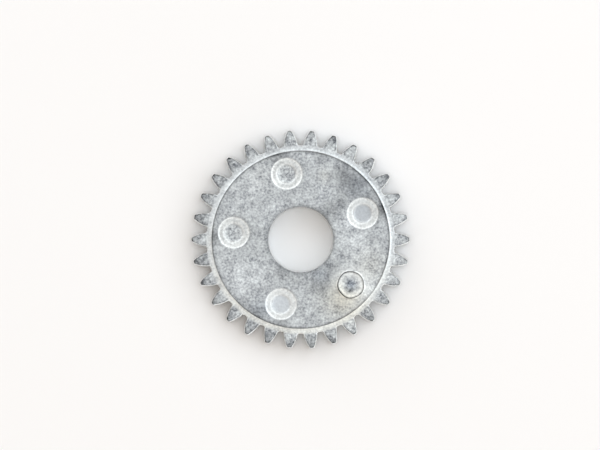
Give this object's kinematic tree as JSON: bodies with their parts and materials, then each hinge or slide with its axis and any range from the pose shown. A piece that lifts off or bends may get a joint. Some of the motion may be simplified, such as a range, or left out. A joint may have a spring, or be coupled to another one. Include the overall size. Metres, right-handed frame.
{
  "type": "oscillating gear",
  "caption": "Small die-cast spur gear for an oscillating drive: involute teeth round a raised face with round ejector marks, and a plain central bore.",
  "frame": {"origin": "on the bore's axis, in the plane of the lower face that the gear rests on", "axes": "+Z along the bore, towards the face that carries the ejector marks; +X through the middle of a tooth"},
  "size_m": [0.021, 0.021, 0.0034],
  "materials": {
    "cast_zinc": "as cast, mottled silver grey"
  },
  "bodies": {
    "root": {"oscillating_gear": "cast_zinc"}
  },
  "joints": []
}
